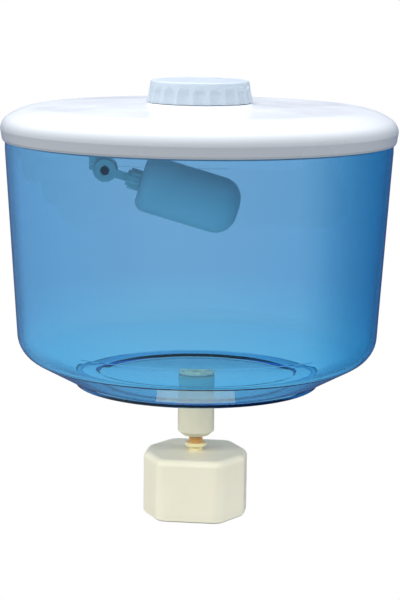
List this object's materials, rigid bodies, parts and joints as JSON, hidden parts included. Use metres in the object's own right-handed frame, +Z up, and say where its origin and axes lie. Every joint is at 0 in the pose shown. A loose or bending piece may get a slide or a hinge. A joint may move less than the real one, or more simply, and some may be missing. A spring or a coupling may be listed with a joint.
{
  "type": "water dispenser bottle",
  "caption": "Round clear tank for a water cooler with a domed lid, screw cap, inlet float valve and an outlet shut by a lower float.",
  "frame": {"origin": "centre of the level float's flat base, on the outlet's axis", "axes": "+Z up along the outlet's axis, -Y to the front"},
  "size_m": [0.3016, 0.3016, 0.3366],
  "materials": {
    "tank_shell": "clear blue moulded",
    "lid_white": "glossy moulded",
    "seal_rubber": "soft silicone",
    "cap_white": "glossy moulded",
    "liner_foam": "foamed disc",
    "valve_acetal": "moulded",
    "gasket_rubber": "moulded",
    "locknut_acetal": "moulded",
    "collet_acetal": "moulded",
    "spindle_acetal": "turned",
    "lever_plastic": "moulded",
    "screw_steel": "dark plated",
    "float_foam": "foamed, closed skin",
    "outlet_plastic": "moulded",
    "float_cream": "moulded, satin",
    "stem_plastic": "moulded",
    "plug_rubber": "natural rubber"
  },
  "bodies": {
    "tank_unit": {"tank": "tank_shell", "valve_body": "valve_acetal", "valve_gasket": "gasket_rubber", "valve_locknut": "locknut_acetal", "tube_o_ring": "gasket_rubber", "outlet_body": "outlet_plastic", "outlet_gasket": "seal_rubber", "outlet_washer": "seal_rubber", "outlet_nut": "outlet_plastic"},
    "lid_unit": {"lid": "lid_white", "lid_seal": "seal_rubber"},
    "liner_unit": {"cap_liner": "liner_foam"},
    "cap_unit": {"screw_cap": "cap_white"},
    "lever_unit": {"float_lever": "lever_plastic", "lever_screw": "screw_steel", "valve_spindle": "spindle_acetal", "spindle_o_ring": "gasket_rubber", "float_nut": "lever_plastic", "valve_float": "float_foam"},
    "collet_unit": {"tube_collet": "collet_acetal"},
    "level_float_unit": {"level_float_shell": "float_cream", "level_float_base": "float_cream", "float_stem": "stem_plastic", "stem_nut": "stem_plastic", "seal_plug": "plug_rubber", "stem_clip": "stem_plastic"}
  },
  "joints": [
    {"name": "lid_lift", "type": "slide", "parent": "tank_unit", "child": "lid_unit", "axis": [0, 0, 1], "range_m": [0, 0.06]},
    {"name": "cap_rise", "type": "slide", "parent": "lid_unit", "child": "liner_unit", "axis": [0, 0, 1], "range_m": [0, 0.016]},
    {"name": "cap_turn", "type": "hinge", "parent": "liner_unit", "child": "cap_unit", "pos_m": [0, 0, 0.3198], "axis": [0, 0, 1], "range_deg": [0, 720]},
    {"name": "lever_swing", "type": "hinge", "parent": "tank_unit", "child": "lever_unit", "pos_m": [-0.07699, 0.1, 0.2576], "axis": [0, -1, 0], "range_deg": [0, 22]},
    {"name": "collet_press", "type": "slide", "parent": "tank_unit", "child": "collet_unit", "axis": [0.6409, -0.7676, 0], "range_m": [0, 0.0012]},
    {"name": "float_drop", "type": "slide", "parent": "tank_unit", "child": "level_float_unit", "axis": [0, 0, 1], "range_m": [-0.01, 0]}
  ],
  "couplings": [
    {"joint": "cap_rise", "follows": "cap_turn", "m_per_rad": 0.0012732}
  ]
}
